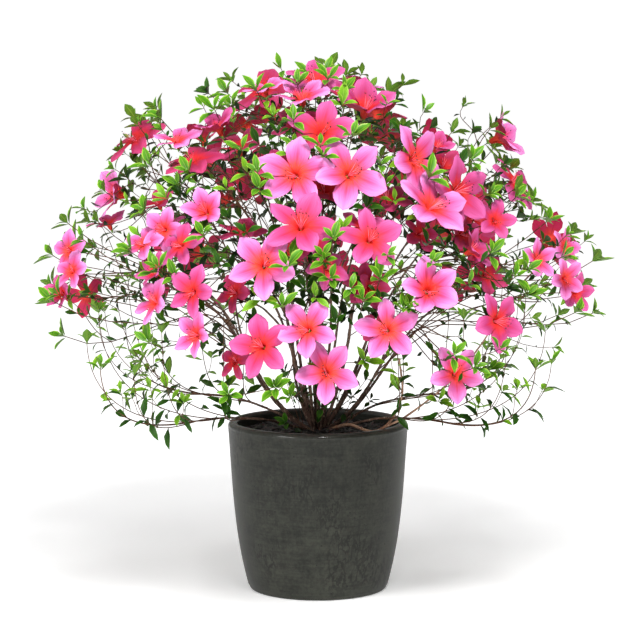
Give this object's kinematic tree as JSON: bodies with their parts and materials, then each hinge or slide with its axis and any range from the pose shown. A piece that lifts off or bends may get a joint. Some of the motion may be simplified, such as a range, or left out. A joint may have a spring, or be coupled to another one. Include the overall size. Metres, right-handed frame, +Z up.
{
  "type": "potted azalea shrub",
  "caption": "Rounded flowering azalea shrub with five-petalled pink blooms and leaf whorls on fanning woody stems, growing in a plain round tapered patio pot.",
  "frame": {"origin": "middle of the pot's flat underside, on the surface that the pot stands on", "axes": "+Z up along the pot's axis; -Y towards the side of the crown that the picture shows; +X to the right as seen from there"},
  "size_m": [0.7689, 0.7577, 0.7116],
  "materials": {
    "pot": "satin",
    "soil": "matte",
    "bark": "matte",
    "foliage": "matte",
    "blossom": "matte"
  },
  "bodies": {
    "root": {"foliage_back_lower_1": "foliage", "foliage_back_lower_2": "foliage", "foliage_back_lower_3": "foliage", "foliage_back_lower_4": "foliage", "foliage_back_lower_5": "foliage", "foliage_back_upper_1": "foliage", "foliage_back_upper_2": "foliage", "foliage_back_upper_3": "foliage", "foliage_back_upper_4": "foliage", "foliage_crown_front": "foliage", "foliage_far_left": "foliage", "foliage_far_right": "foliage", "foliage_low_front": "foliage", "foliage_low_front_right": "foliage", "foliage_low_left": "foliage", "foliage_low_right": "foliage", "foliage_mid_front": "foliage", "foliage_mid_left": "foliage", "foliage_mid_right": "foliage", "foliage_top_back": "foliage", "foliage_top_front": "foliage", "foliage_trail_1": "foliage", "foliage_trail_2": "foliage", "foliage_trail_3": "foliage", "foliage_trail_4": "foliage", "foliage_upper_left": "foliage", "foliage_upper_right": "foliage", "limb_back_lower_1": "bark", "limb_back_lower_2": "bark", "limb_back_lower_3": "bark", "limb_back_lower_4": "bark", "limb_back_lower_5": "bark", "limb_back_upper_1": "bark", "limb_back_upper_2": "bark", "limb_back_upper_3": "bark", "limb_back_upper_4": "bark", "limb_crown_front": "bark", "limb_far_left": "bark", "limb_far_right": "bark", "limb_low_front": "bark", "limb_low_front_right": "bark", "limb_low_left": "bark", "limb_low_right": "bark", "limb_mid_front": "bark", "limb_mid_left": "bark", "limb_mid_right": "bark", "limb_top_back": "bark", "limb_top_front": "bark", "limb_trail_1": "bark", "limb_trail_2": "bark", "limb_trail_3": "bark", "limb_trail_4": "bark", "limb_upper_left": "bark", "limb_upper_right": "bark", "pot": "pot", "root_crown": "bark", "soil": "soil"}
  },
  "joints": []
}
